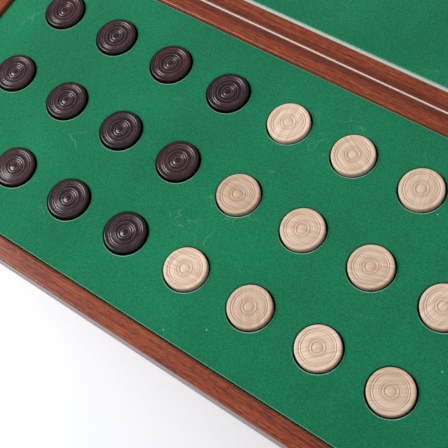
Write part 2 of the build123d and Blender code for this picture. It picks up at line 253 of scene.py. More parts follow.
def stained_rail(name, settings, along_y=False, at_seam=False):
    """Beech under mahogany stain and sprayed lacquer: streaks along the rail, short pores."""
    material, tree, shader = new_material(
        name,
        {
            "Roughness": 0.5,
            "Specular IOR Level": 0.15,
            "Coat Weight": 0.5,
            "Coat Roughness": 0.2,
        },
    )
    place = add_node(tree, "ShaderNodeTexCoord", output="Object")

    def lengthwise(length, width, depth):
        return (width, length, depth) if along_y else (length, width, depth)

    # Grain streaks about 1 mm wide, and the broad ribbons of quartered wood
    streaks = wood_grain(tree, place, lengthwise(30, 0.9, 1.3), distortion=0.4)
    ribbon = wood_grain(tree, place, lengthwise(90, 4, 5), detail=2.0, distortion=1.0)
    # Pores are drawn three times as wide as real ones, so that they show
    pores = wood_grain(tree, place, lengthwise(3.5, 0.6, 0.7), detail=1.5, distortion=0.2)
    tone = add_node(
        tree,
        "ShaderNodeValToRGB",
        inputs={"Fac": streaks},
        stops=[(0.25, settings.stain_dark), (0.48, settings.stain), (0.75, settings.stain_light)],
    )
    for pattern, low, high, most, colour in (
        (ribbon, 0.45, 0.70, 0.45, settings.stain_dark),
        (pores, 0.52, 0.66, 0.60, settings.stain_dark),
        (pores, 0.44, 0.30, 0.45, settings.stain_light),
    ):
        share = add_node(tree, "ShaderNodeMapRange", inputs=span(pattern, low, high, 0, most))
        tone = add_node(
            tree, "ShaderNodeMix", COLOUR_MIX, {SHARE: share, FIRST: tone, SECOND: colour}, RESULT
        )
    # Painted shade on the outer sides of the case
    tone = painted_side_shade(tree, settings, place, along_y, tone)
    if at_seam:
        tone = seam_tone(tree, settings, place, ribbon, tone)
    tree.links.new(tone, shader.inputs["Base Color"])
    relief = {"Height": streaks, "Distance": 0.04 * MM, "Strength": 0.3}
    tree.links.new(add_node(tree, "ShaderNodeBump", inputs=relief), shader.inputs["Normal"])
    return material


def painted_side_shade(tree, settings, place, along_y, tone):
    """Paints shade onto the case's outer sides between their rims: a cool grey multiplier darkens
    them and fades out towards each rim.
    """
    low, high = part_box("near_front_rail")
    middle, half_depth = (low.z + high.z) / 2, (high.z - low.z) / 2
    height = add_node(tree, "ShaderNodeSeparateXYZ", inputs={"Vector": place}, output="Z")
    above_middle = add_node(tree, "ShaderNodeMath", SUBTRACT, {0: height, 1: middle})
    from_middle = add_node(tree, "ShaderNodeMath", ABSOLUTE, {0: above_middle})
    start, end = half_depth - settings.fade_from, half_depth - settings.fade_to
    side = add_node(tree, "ShaderNodeMapRange", inputs=span(from_middle, start, end, 1, 0))
    across = add_node(
        tree, "ShaderNodeSeparateXYZ", inputs={"Vector": place}, output="X" if along_y else "Y"
    )
    from_centre = add_node(tree, "ShaderNodeMath", ABSOLUTE, {0: across})
    # The open case is square, so its four outer sides lie as far out as the front one
    outer_skin = -low.y - 2 * CLEAR
    outer = add_node(tree, "ShaderNodeMath", GREATER_THAN, {0: from_centre, 1: outer_skin})
    side_shade_share = add_node(tree, "ShaderNodeMath", MULTIPLY, {0: side, 1: outer})
    return add_node(
        tree,
        "ShaderNodeMix",
        COLOUR_PRODUCT,
        {SHARE: side_shade_share, FIRST: tone, SECOND: settings.side_shade},
        RESULT,
    )


def seam_tone(tree, settings, place, ribbon, tone):
    """Darkens the stain in a wandering band along the seam and bares its sawn edge."""
    across = add_node(tree, "ShaderNodeSeparateXYZ", inputs={"Vector": place}, output="Y")
    height = add_node(tree, "ShaderNodeSeparateXYZ", inputs={"Vector": place}, output="Z")
    from_seam = add_node(tree, "ShaderNodeMath", ABSOLUTE, {0: across})
    wander = 1.5 * MM
    wandering = add_node(
        tree,
        "ShaderNodeMath",
        {"operation": "MULTIPLY_ADD"},
        {0: ribbon, 1: wander, 2: from_seam},
    )
    start, end = settings.seam_band, settings.seam_band + wander
    band = add_node(
        tree, "ShaderNodeMapRange", inputs=span(wandering, start, end, first=0.52, last=0)
    )
    tone = add_node(
        tree,
        "ShaderNodeMix",
        COLOUR_MIX,
        {SHARE: band, FIRST: tone, SECOND: settings.stain_dark},
        RESULT,
    )
    reach = settings.bare_reach
    sawn = add_node(
        tree, "ShaderNodeMapRange", inputs=span(from_seam, reach, reach + CLEAR, 1, 0)
    )
    high_up = add_node(tree, "ShaderNodeMath", GREATER_THAN, {0: height, 1: settings.bare_from})
    bare = add_node(tree, "ShaderNodeMath", MULTIPLY, {0: sawn, 1: high_up})
    return add_node(
        tree, "ShaderNodeMix", COLOUR_MIX, {SHARE: bare, FIRST: tone, SECOND: settings.bare}, RESULT
    )


def turned_beech(name, finish, wood, grain, grooves, lightened, groove_share, ridge_light_share, batches):
    """Turned and lacquered beech: flecked grain, painted shade in the grooves, and painted
    highlights on the ridges in patches like rubbed finish.
    """
    material, tree, shader = new_material(name, finish)
    place = add_node(
        tree, "ShaderNodeAttribute", {"attribute_name": "wood_place"}, output="Vector"
    )
    # Growth lines 1 to 2 mm apart, and the flecks that rays leave in beech, 2 mm long
    growth = wood_grain(tree, place, (30, 1.1, 2.5), distortion=0.9)
    flecks = wood_grain(tree, place, (1.8, 0.3, 0.4), detail=1.5, distortion=0)
    tone = add_node(
        tree, "ShaderNodeValToRGB", inputs={"Fac": growth}, stops=[(0.25, grain), (0.62, wood)]
    )
    fleck = add_node(tree, "ShaderNodeMapRange", inputs=span(flecks, 0.56, 0.7, 0, 0.45))
    tone = add_node(
        tree, "ShaderNodeMix", COLOUR_MIX, {SHARE: fleck, FIRST: tone, SECOND: grain}, RESULT
    )
    # Pieces lie metres apart in this noise of 435 mm, so each takes a tone of its own,
    # between the two of batches, which multiply its colour
    batch = add_node(
        tree, "ShaderNodeTexNoise", inputs={"Vector": place, "Scale": 1000 / 435, "Detail": 0}
    )
    own_tone = add_node(
        tree,
        "ShaderNodeValToRGB",
        inputs={"Fac": batch},
        stops=[(0.36, batches[0]), (0.62, batches[1])],
    )
    tone = add_node(
        tree, "ShaderNodeMix", COLOUR_PRODUCT, {SHARE: 1.0, FIRST: tone, SECOND: own_tone}, RESULT
    )
    # Painted shade: the deeper a point lies in a groove, the more of the darker groove colour
    in_groove = add_node(tree, "ShaderNodeAttribute", {"attribute_name": "groove"}, output="Fac")
    groove_shade = add_node(tree, "ShaderNodeMath", MULTIPLY, {0: in_groove, 1: groove_share})
    tone = add_node(
        tree, "ShaderNodeMix", COLOUR_MIX, {SHARE: groove_shade, FIRST: tone, SECOND: grooves}, RESULT
    )
    # Painted highlights: the ridges are made lighter, in patches of about 4 mm like rubbed finish
    on_ridge = add_node(tree, "ShaderNodeAttribute", {"attribute_name": "ridge"}, output="Fac")
    highlight_patches = add_node(
        tree, "ShaderNodeTexNoise", inputs={"Vector": place, "Scale": 1000 / 4, "Detail": 2}
    )
    patchy = add_node(
        tree,
        "ShaderNodeMapRange",
        inputs=span(highlight_patches, 0.35, 0.6, 0.35 * ridge_light_share, ridge_light_share),
    )
    # The share of painted highlight on the ridges
    bare = add_node(tree, "ShaderNodeMath", MULTIPLY, {0: on_ridge, 1: patchy})
    tone = add_node(
        tree, "ShaderNodeMix", COLOUR_MIX, {SHARE: bare, FIRST: tone, SECOND: lightened}, RESULT
    )
    tree.links.new(tone, shader.inputs["Base Color"])
    relief = {"Height": growth, "Distance": 0.02 * MM, "Strength": 0.3}
    tree.links.new(add_node(tree, "ShaderNodeBump", inputs=relief), shader.inputs["Normal"])
    return material


def green_flock(name, settings):
    """Short nylon flock blown onto glue: matt, mottled, with pale edges of thin pile and painted
    highlight, and lint.
    """
    material, tree, shader = new_material(
        name,
        {
            "Roughness": 0.95,
            "Specular IOR Level": 0.1,
            "Sheen Weight": 0.1,
            "Sheen Roughness": 0.6,
        },
    )
    place = add_node(tree, "ShaderNodeTexCoord", output="Object")
    # Fibre clumps of about 0.8 mm, drawn coarser than the real 0.1 mm so that they show
    clumps = add_node(
        tree, "ShaderNodeTexNoise", inputs={"Vector": place, "Scale": 1000 / 0.8, "Detail": 3}
    )
    brushed = add_node(
        tree, "ShaderNodeTexNoise", inputs={"Vector": place, "Scale": 1000 / 45, "Detail": 4}
    )
    tone = add_node(
        tree,
        "ShaderNodeValToRGB",
        inputs={"Fac": clumps},
        stops=[(0.33, settings.pile_shade), (0.67, settings.pile)],
    )
    # The pile leans one way or another in patches of about 45 mm, which dims or lifts it
    sweep = add_node(
        tree,
        "ShaderNodeValToRGB",
        inputs={"Fac": brushed},
        stops=[(0.35, (0.84, 0.88, 0.86, 1)), (0.68, (1.13, 1.09, 1.11, 1))],
    )
    tone = add_node(
        tree, "ShaderNodeMix", COLOUR_PRODUCT, {SHARE: 1.0, FIRST: tone, SECOND: sweep}, RESULT
    )
    # Lint: pale specks up to 1 mm wide, one in a cube of 18 mm, of which few meet the face
    speck_cell, speck_radius = 18, 0.504
    from_speck = add_node(
        tree, "ShaderNodeTexVoronoi", inputs={"Vector": place, "Scale": 1000 / speck_cell}
    )
    lint = add_node(
        tree, "ShaderNodeMath", LESS_THAN, {0: from_speck, 1: speck_radius / speck_cell}
    )
    # Scuffs: short scratches where a noise crosses its middle, kept to a few patches
    wave = add_node(
        tree,
        "ShaderNodeTexNoise",
        inputs={"Vector": place, "Scale": 1000 / 16, "Detail": 2, "Distortion": 0.6},
    )
    crossing = add_node(tree, "ShaderNodeMath", SUBTRACT, {0: wave, 1: 0.5})
    off_line = add_node(tree, "ShaderNodeMath", ABSOLUTE, {0: crossing})
    scratch = add_node(tree, "ShaderNodeMath", LESS_THAN, {0: off_line, 1: 0.008})
    region = add_node(
        tree, "ShaderNodeTexNoise", inputs={"Vector": place, "Scale": 1000 / 38, "Detail": 1}
    )
    lightened = add_node(tree, "ShaderNodeMapRange", inputs=span(region, 0.62, 0.7))
    scuff = add_node(tree, "ShaderNodeMath", MULTIPLY, {0: scratch, 1: lightened})
    # Up to 1 the pile thins to its glue, on the pockets' near rims and the cover's bevel also a
    # painted highlight, and from 1 to 2 the cut edge of the board shows
    worn = add_node(tree, "ShaderNodeAttribute", {"attribute_name": "edge_wear_and_highlight"}, output="Fac")
    clumped = add_node(tree, "ShaderNodeMath", {"operation": "ADD"}, {0: clumps, 1: 0.35})
    ragged = add_node(
        tree,
        "ShaderNodeMath",
        {"operation": "MULTIPLY", "use_clamp": True},
        {0: worn, 1: clumped},
    )
    cut_edge = add_node(
        tree, "ShaderNodeMath", {"operation": "SUBTRACT", "use_clamp": True}, {0: worn, 1: 1.0}
    )
    for mask, most, colour in (
        (lint, 0.5, settings.pile_edge),
        (scuff, 0.12, settings.pile_edge),
        (ragged, 1.0, settings.pile_edge),
        (cut_edge, 1.0, settings.board_edge),
    ):
        share = add_node(tree, "ShaderNodeMath", MULTIPLY, {0: mask, 1: most})
        tone = add_node(
            tree, "ShaderNodeMix", COLOUR_MIX, {SHARE: share, FIRST: tone, SECOND: colour}, RESULT
        )
    tree.links.new(tone, shader.inputs["Base Color"])
    relief = {"Height": clumps, "Distance": 0.25 * MM, "Strength": 0.6}
    tree.links.new(add_node(tree, "ShaderNodeBump", inputs=relief), shader.inputs["Normal"])
    return material


def dark_flock(name, settings):
    """The pocket floors: the same flock, thin over its board and darker, the darkness partly
    painted shade for the deep narrow pockets.
    """
    material, tree, shader = new_material(name, {"Roughness": 1.0})
    place = add_node(tree, "ShaderNodeTexCoord", output="Object")
    clumps = add_node(
        tree, "ShaderNodeTexNoise", inputs={"Vector": place, "Scale": 1000 / 0.8, "Detail": 2}
    )
    tone = add_node(
        tree,
        "ShaderNodeValToRGB",
        inputs={"Fac": clumps},
        stops=[(0.3, settings.floor_shade), (0.7, settings.floor_pile)],
    )
    tree.links.new(tone, shader.inputs["Base Color"])
    return material


def lacquered_brass(name, settings):
    """Stamped and lacquered brass: warm metal, duller in patches, with fine drag lines."""
    material, tree, shader = new_material(name, {"Metallic": 1.0})
    place = add_node(tree, "ShaderNodeTexCoord", output="Object")
    patches = add_node(
        tree, "ShaderNodeTexNoise", inputs={"Vector": place, "Scale": 1000 / 5.5, "Detail": 3}
    )
    tone = add_node(
        tree,
        "ShaderNodeValToRGB",
        inputs={"Fac": patches},
        stops=[(0.35, settings.tarnish), (0.6, settings.brass)],
    )
    dull = add_node(tree, "ShaderNodeMapRange", inputs=span(patches, 0.3, 0.7, 0.38, 0.22))
    drag_lines = wood_grain(tree, place, (12, 0.12, 0.12), detail=1.0, distortion=0)
    relief = {"Height": drag_lines, "Distance": 0.01 * MM, "Strength": 0.3}
    tree.links.new(tone, shader.inputs["Base Color"])
    tree.links.new(dull, shader.inputs["Roughness"])
    tree.links.new(add_node(tree, "ShaderNodeBump", inputs=relief), shader.inputs["Normal"])
    return material


def veneer(name, colour, dark_line, leaf_size=0):
    """Sliced veneer under lacquer: straight grain, cut anew for every square of leaf_size."""
    material, tree, shader = new_material(
        name, {"Roughness": 0.4, "Coat Weight": 0.5, "Coat Roughness": 0.25}
    )
    place = add_node(tree, "ShaderNodeTexCoord", output="Object")
    if leaf_size:
        corner = add_node(
            tree,
            "ShaderNodeVectorMath",
            {"operation": "SNAP"},
            {0: place, 1: (leaf_size, leaf_size, leaf_size)},
        )
        shift = add_node(
            tree, "ShaderNodeTexWhiteNoise", inputs={"Vector": corner}, output="Color"
        )
        place = add_node(
            tree, "ShaderNodeVectorMath", {"operation": "ADD"}, {0: place, 1: shift}
        )
    growth = wood_grain(tree, place, (90, 1.8, 3.0), distortion=0.5)
    figure = wood_grain(tree, place, (140, 9, 9), detail=2.0, distortion=1.2)
    tone = add_node(
        tree,
        "ShaderNodeValToRGB",
        inputs={"Fac": growth},
        stops=[(0.3, dark_line), (0.55, colour)],
    )
    share = add_node(tree, "ShaderNodeMath", MULTIPLY, {0: figure, 1: 0.4})
    tone = add_node(
        tree, "ShaderNodeMix", COLOUR_MIX, {SHARE: share, FIRST: tone, SECOND: dark_line}, RESULT
    )
    tree.links.new(tone, shader.inputs["Base Color"])
    relief = {"Height": growth, "Distance": 0.03 * MM, "Strength": 0.3}
    tree.links.new(add_node(tree, "ShaderNodeBump", inputs=relief), shader.inputs["Normal"])
    return material


def birch_plywood(name, settings):
    """Thin sanded plywood: plies of 1 mm, every other one showing darker end grain."""
    material, tree, shader = new_material(name, {"Roughness": 0.75})
    place = add_node(tree, "ShaderNodeTexCoord", output="Object")
    height = add_node(tree, "ShaderNodeSeparateXYZ", inputs={"Vector": place}, output="Z")
    plies = add_node(tree, "ShaderNodeMath", MULTIPLY, {0: height, 1: 1000 / 2})
    through = add_node(tree, "ShaderNodeMath", {"operation": "FRACT"}, {0: plies})
    cross_ply = add_node(tree, "ShaderNodeMath", GREATER_THAN, {0: through, 1: 0.5})
    share = add_node(tree, "ShaderNodeMath", MULTIPLY, {0: cross_ply, 1: 0.35})
    grain = wood_grain(tree, place, (20, 0.8, 0.8))
    tone = add_node(
        tree,
        "ShaderNodeValToRGB",
        inputs={"Fac": grain},
        stops=[(0.3, linear("#8f6c44")), (0.7, settings.plywood)],
    )
    tone = add_node(
        tree,
        "ShaderNodeMix",
        COLOUR_MIX,
        {SHARE: share, FIRST: tone, SECOND: linear("#7a5834")},
        RESULT,
    )
    tree.links.new(tone, shader.inputs["Base Color"])
    return material


def planed_pine(name):
    """Planed pine bars: pale, with wide soft grain."""
    material, tree, shader = new_material(name, {"Roughness": 0.8})
    place = add_node(tree, "ShaderNodeTexCoord", output="Object")
    tone = add_node(
        tree,
        "ShaderNodeValToRGB",
        inputs={"Fac": wood_grain(tree, place, (150, 3, 3))},
        stops=[(0.3, linear("#b98f5e")), (0.7, linear("#dcbd8c"))],
    )
    tree.links.new(tone, shader.inputs["Base Color"])
    return material


# Modelling helpers

def only(obj):
    """Makes obj the one selected and active object."""
    if bpy.context.object and bpy.context.object.mode != "OBJECT":
        bpy.ops.object.mode_set(mode="OBJECT")
    bpy.ops.object.select_all(action="DESELECT")
    obj.select_set(True)
    bpy.context.view_layer.objects.active = obj


def select_faces(obj, chosen):
    """In edit mode afterwards: the faces for which chosen(polygon) holds are selected."""
    bpy.ops.object.mode_set(mode="OBJECT")
    mesh = obj.data
    mesh.vertices.foreach_set("select", [False] * len(mesh.vertices))
    mesh.edges.foreach_set("select", [False] * len(mesh.edges))
    mesh.polygons.foreach_set("select", [chosen(p) for p in mesh.polygons])
    bpy.ops.object.mode_set(mode="EDIT")
    bpy.ops.mesh.select_mode(type="FACE")


def select_edges(obj, chosen):
    """In edit mode afterwards: the edges for which chosen(start, end) holds are selected."""
    bpy.ops.object.mode_set(mode="OBJECT")
    mesh = obj.data
    points = [v.co for v in mesh.vertices]
    mesh.vertices.foreach_set("select", [False] * len(mesh.vertices))
    mesh.polygons.foreach_set("select", [False] * len(mesh.polygons))
    picked = [chosen(points[e.vertices[0]], points[e.vertices[1]]) for e in mesh.edges]
    mesh.edges.foreach_set("select", picked)
    bpy.ops.object.mode_set(mode="EDIT")
    bpy.ops.mesh.select_mode(type="EDGE")


def apply_modifier(obj, kind, **settings):
    """Adds one modifier with its settings and applies it."""
    only(obj)
    modifier = obj.modifiers.new(kind.title(), kind)
    for name, value in settings.items():
        setattr(modifier, name, value)
    bpy.ops.object.modifier_apply(modifier=modifier.name)


def at_origin(obj):
    """Moves the object's place, turn and size into its mesh."""
    only(obj)
    bpy.ops.object.transform_apply(location=True, rotation=True, scale=True)
    return obj


def finish_piece(obj, name, body, material, replaced):
    """Names a modelled piece, gives it its material and sets it in place of frame nodes."""
    obj.name = name
    obj.data.name = name
    obj.data.materials.clear()
    obj.data.materials.append(material)
    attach(obj, body)
    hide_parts(*replaced)


def dress_node(node, material):
    """Gives a frame node its finish."""
    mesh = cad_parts[node].data
    mesh.materials.clear()
    mesh.materials.append(material)


# Turned face of a checker, as (radius, depth below the rim land) in mm, from edge to centre
FACE_RINGS_MM = [
    # The outer groove
    (10.56, 0.00), (10.37, 0.04), (10.21, 0.14), (10.06, 0.27), (9.91, 0.35), (9.77, 0.32),
    (9.63, 0.21), (9.49, 0.10),
    # A bead and the second groove
    (9.32, 0.04), (9.15, 0.06), (9.00, 0.15), (8.87, 0.27), (8.74, 0.35), (8.59, 0.32),
    (8.46, 0.22), (8.32, 0.17),
    # The flat band and the fine groove inside it
    (8.09, 0.14), (6.36, 0.14), (6.18, 0.10), (6.02, 0.14), (5.88, 0.24), (5.74, 0.24),
    (5.60, 0.15),
    # The slope into the cove, and the bead in its middle
    (4.93, 0.31), (4.72, 0.34), (4.58, 0.42), (4.45, 0.46), (4.30, 0.41), (4.15, 0.30),
    (3.96, 0.22), (3.76, 0.20), (3.55, 0.22), (3.39, 0.30), (3.26, 0.41), (3.12, 0.48),
    # The button
    (2.96, 0.50), (2.79, 0.49), (2.60, 0.42), (2.33, 0.31), (1.95, 0.21), (1.40, 0.11),
    (0.74, 0.04),
]
# The crests and shoulders among them, painted lighter as highlights, and how near them counts as on
# them
RIDGES_MM = (10.21, 9.32, 8.32, 6.18, 3.76, 2.33)
RIDGE_REACH_MM = 0.08
# Painted shade in the grooves starts at the first of these depths and is full at the second
SHADE_DEPTHS_MM = (0.15, 0.34)
# The shoulder and the wall take the darker groove colour too, at this share
WALL_DARKENING = 0.5


def turned_disc(settings, radius, thickness):
    """One checker at the origin: a cylinder whose faces are inset ring by ring."""
    bpy.ops.object.select_all(action="DESELECT")
    bpy.ops.mesh.primitive_cylinder_add(
        vertices=settings.segments, radius=radius, depth=thickness, end_fill_type="NGON"
    )
    disc = bpy.context.object
    select_edges(disc, lambda a, b: abs(a.z - b.z) < TOUCHING)
    bpy.ops.mesh.bevel(offset=settings.edge_round, segments=4, profile=0.5, affect="EDGES")
    for side in (1, -1):
        place, depth = radius - settings.edge_round, 0.0
        select_faces(disc, lambda p: p.normal.z * side > 0.999)
        for ring_radius, ring_depth in FACE_RINGS_MM:
            bpy.ops.mesh.inset(thickness=place - ring_radius * MM, depth=0)
            bpy.ops.transform.translate(value=(0, 0, -side * (ring_depth * MM - depth)))
            place, depth = ring_radius * MM, ring_depth * MM
        bpy.ops.mesh.poke()
    bpy.ops.object.mode_set(mode="OBJECT")
    bpy.ops.object.shade_smooth_by_angle(angle=SMOOTH_BELOW)
    return disc


def mark_turning(disc, face_radius, top):
    """Stores 0 to 1 for painted shade in the turned grooves, and for the ridges that are painted
    lighter as highlights.
    """
    groove = disc.data.attributes.new("groove", "FLOAT", "POINT")
    ridge = disc.data.attributes.new("ridge", "FLOAT", "POINT")
    shade_start, full = SHADE_DEPTHS_MM
    for vertex, in_groove, on_ridge in zip(disc.data.vertices, groove.data, ridge.data):
        reach = vertex.co.xy.length
        depth = (top - abs(vertex.co.z)) / MM
        if reach < face_radius - CLEAR:
            in_groove.value = min(max((depth - shade_start) / (full - shade_start), 0), 1)
        elif reach > face_radius + CLEAR:
            in_groove.value = WALL_DARKENING
        lightened = any(abs(reach / MM - ridge_mm) < RIDGE_REACH_MM for ridge_mm in RIDGES_MM)
        on_ridge.value = 1 if lightened else 0


def checker_woods(settings):
    """Plain and stained beech, under the first word of the checkers' names."""
    return {
        "light": turned_beech(
            "Lacquered beech",
            {
                "Roughness": 0.45,
                "Specular IOR Level": 0.2,
                "Coat Weight": 0.2,
                "Coat Roughness": 0.3,
            },
            settings.light_wood,
            settings.light_grain,
            # Colours of the painted groove shade and of the painted ridge highlights
            linear("#a87c5c"),
            linear("#f3e6d6"),
            groove_share=0.32,
            ridge_light_share=0.2,
            batches=((0.82, 0.75, 0.69, 1), (1.08, 1.06, 1.06, 1)),
        ),
        "dark": turned_beech(
            "Stained lacquered beech",
            {
                "Roughness": 0.4,
                "Specular IOR Level": 0.12,
                "Coat Weight": 0.65,
                "Coat Roughness": 0.16,
            },
            settings.dark_wood,
            settings.dark_grain,
            # Colours of the painted groove shade and of the painted ridge highlights
            linear("#0d0708"),
            linear("#b0868c"),
            groove_share=0.5,
            ridge_light_share=0.6,
            batches=((0.70, 0.75, 0.95, 1), (1.60, 1.02, 0.95, 1)),
        ),
    }


# How far a piece's wood may lie from the middle of the noise, in metres
WOOD_REACH = 9


class CHECKERS_OT_turned_checkers(bpy.types.Operator):
    """Turn one checker and set a copy of it in every pocket"""

    bl_idname = "checkers.turned_checkers"
    bl_label = "Turned Checkers"

    def execute(self, context):
        settings = context.scene.checkers_discs
        woods = checker_woods(settings)
        low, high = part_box("light_checker_01")
        radius, thickness = (high.x - low.x) / 2, high.z - low.z
        master = turned_disc(settings, radius, thickness)
        mark_turning(master, radius - settings.edge_round, thickness / 2)
        chance = random.Random(24)
        for node in checker_nodes():
            low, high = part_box(node)
            piece = master.copy()
            piece.data = master.data.copy()
            context.collection.objects.link(piece)
            grain_turn = Matrix.Rotation(chance.uniform(0, math.tau), 3, "Z")
            shift = Vector([chance.uniform(-WOOD_REACH, WOOD_REACH) for _ in range(3)])
            place = piece.data.attributes.new("wood_place", "FLOAT_VECTOR", "POINT")
            for vertex, value in zip(piece.data.vertices, place.data):
                value.vector = grain_turn @ vertex.co + shift
            piece.data.transform(Matrix.Translation((low + high) / 2))
            colour = node.split("_")[0]
            finish_piece(
                piece, f"{node}_turned", node, woods[colour], [node]
            )
        bpy.data.objects.remove(master)
        return {"FINISHED"}


# How thin the pile is worn, from 0 for whole pile to 1 for its glue, and 2 for bare board; on the
# pockets' near rims and the cover's bevel this paleness is also a painted highlight
POCKET_WEAR_AND_HIGHLIGHT = 0.9
SEAM_SIDE_WEAR = 0.6
FRONT_SIDE_WEAR = 0.4
BEVEL_WEAR_AND_HIGHLIGHT = 0.4
BARE_BOARD = 2.0


def mark_edges(obj, worn):
    """Stores how far each point of a flocked panel is worn, painted highlight included."""
    attribute = obj.data.attributes.new("edge_wear_and_highlight", "FLOAT", "POINT")
    for vertex, value in zip(obj.data.vertices, attribute.data):
        value.value = worn(vertex.co)


def checker_nodes():
    """The names of all checkers, in one fixed order."""
    return sorted(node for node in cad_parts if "_checker_" in node)


def pocket_centre(node):
    """The middle of a checker's pocket, at the height of the insert's face."""
    low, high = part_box(node)
    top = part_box("near_insert_panel")[1].z
    return Vector(((low.x + high.x) / 2, (low.y + high.y) / 2, top))


def flat_panel(low, high):
    """A plain panel between two corners."""
    bpy.ops.object.select_all(action="DESELECT")
    bpy.ops.mesh.primitive_cube_add(size=1, location=(low + high) / 2, scale=high - low)
    return at_origin(bpy.context.object)


def face_in_cells(low, high, columns, rows):
    """The insert's upper face, cut into one cell for each pocket and a margin round them."""
    bpy.ops.object.select_all(action="DESELECT")
    middle, top = (low + high) / 2, high.z
    bpy.ops.mesh.primitive_plane_add(size=1, location=(middle.x, middle.y, top))
    face = bpy.context.object
    face.scale = (high.x - low.x, high.y - low.y, 1)
    at_origin(face)
    bpy.ops.object.mode_set(mode="EDIT")
    half_column = Vector(((columns[1] - columns[0]) / 2, 0, 0))
    half_row = Vector((0, (rows[1] - rows[0]) / 2, 0))
    first = Vector((columns[0], rows[0], top))
    cuts = [(Vector((x, 0, top)) + half_column, half_column) for x in columns]
    cuts += [(Vector((0, y, top)) + half_row, half_row) for y in rows]
    cuts += [(first - half_step, half_step) for half_step in (half_column, half_row)]
    for point, across in cuts:
        bpy.ops.mesh.select_all(action="SELECT")
        bpy.ops.mesh.bisect(plane_co=point, plane_no=across.normalized())
    return face


def open_pocket(panel, pocket, radius, cell_width, cell_depth, facets):
    """Opens a round pocket: its cell is inset to a small square, which is rounded out."""
    side = radius
    select_faces(panel, lambda p: (p.center - pocket).length < radius / 4)
    bpy.ops.mesh.inset(thickness=(cell_width - side) / 2)
    bpy.ops.transform.resize(
        value=(1, side / (cell_depth - cell_width + side), 1), center_override=pocket
    )
    bpy.ops.mesh.delete(type="ONLY_FACE")
    # The square's corners lie 0.71 of its side from its middle
    select_edges(
        panel,
        lambda a, b: (a - pocket).length < side * 0.8 and (b - pocket).length < side * 0.8,
    )
    bpy.ops.mesh.subdivide(number_cuts=facets // 4 - 1)
    bpy.ops.transform.tosphere(value=1, center_override=pocket)
    bpy.ops.object.mode_set(mode="OBJECT")
    ring = [v.co for v in panel.data.vertices if v.select]
    bpy.ops.object.mode_set(mode="EDIT")
    grow = radius / (ring[0] - pocket).length
    bpy.ops.transform.resize(value=(grow, grow, 1), center_override=pocket)


def ease_insert(panel, low, high, pockets, radius, settings):
    """Rounds the upper edges of the pockets and of the insert, with a worn strip beside."""
    top = high.z

    def on_rim(a, b):
        """An edge of the top face that borders a pocket or the panel's outside."""
        if abs(a.z - top) > TOUCHING or abs(b.z - top) > TOUCHING:
            return False
        middle = (a + b) / 2
        outside = min(middle.x - low.x, high.x - middle.x, middle.y - low.y, high.y - middle.y)
        return outside < TOUCHING or any(
            abs((p - a).length - radius) < TOUCHING and abs((p - b).length - radius) < TOUCHING
            for p in pockets
        )

    select_faces(panel, lambda p: p.normal.z > 0.99)
    bpy.ops.mesh.inset(thickness=settings.edge_round + settings.edge_wear_and_highlight, use_boundary=True)
    select_edges(panel, on_rim)
    bpy.ops.mesh.bevel(offset=settings.edge_round, segments=3, profile=0.5, affect="EDGES")
    bpy.ops.object.mode_set(mode="OBJECT")


class CHECKERS_OT_flocked_insert(bpy.types.Operator):
    """Model the flocked insert with its pockets, and finish the board under it"""

    bl_idname = "checkers.flocked_insert"
    bl_label = "Flocked Insert"

    def execute(self, context):
        settings = context.scene.checkers_flock
        low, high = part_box("near_insert_panel")
        pockets = [pocket_centre(node) for node in checker_nodes()]
        disc_low, disc_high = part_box("light_checker_01")
        pocket_radius = (disc_high.x - disc_low.x) / 2 + settings.pocket_clearance
        # Five decimals of a metre, so that the places of one row count as one
        columns = sorted({round(p.x, 5) for p in pockets})
        rows = sorted({round(p.y, 5) for p in pockets})
        cell_width, cell_depth = columns[1] - columns[0], rows[1] - rows[0]

        panel = face_in_cells(low, high, columns, rows)
        for pocket in pockets:
            open_pocket(
                panel, pocket, pocket_radius, cell_width, cell_depth, settings.pocket_facets
            )
        bpy.ops.object.mode_set(mode="OBJECT")
        apply_modifier(panel, "SOLIDIFY", thickness=high.z - low.z, offset=-1)
        ease_insert(panel, low, high, pockets, pocket_radius, settings)
        strip = settings.edge_round + settings.edge_wear_and_highlight - CLEAR

        def worn(co):
            """A pocket's rim is paler on its near side, worn flock with a painted highlight;
            folding wears the two long sides.
            """
            if co.z < high.z - settings.edge_round * 0.9:
                return 0.0
            arm = min((co.xy - p.xy for p in pockets), key=lambda way: way.length)
            if arm.length - pocket_radius < strip:
                facing = arm.normalized().dot(Vector(settings.rubbed_and_lit_side))
                return POCKET_WEAR_AND_HIGHLIGHT * max(facing, 0)
            if high.y - co.y < strip:
                return SEAM_SIDE_WEAR
            return FRONT_SIDE_WEAR if co.y - low.y < strip else 0.0

        mark_edges(panel, worn)
        bpy.ops.object.shade_smooth_by_angle(angle=SMOOTH_BELOW)
        apply_modifier(panel, "WEIGHTED_NORMAL", weight=100)
        flock = green_flock("Green flock on board", settings)
        finish_piece(
            panel, "flocked_insert", "near_half", flock, ["near_insert_panel"]
        )
        # The backing under the pockets, darkened partly as painted shade
        dress_node("near_insert_backing", dark_flock("Dark flock", settings))
        return {"FINISHED"}


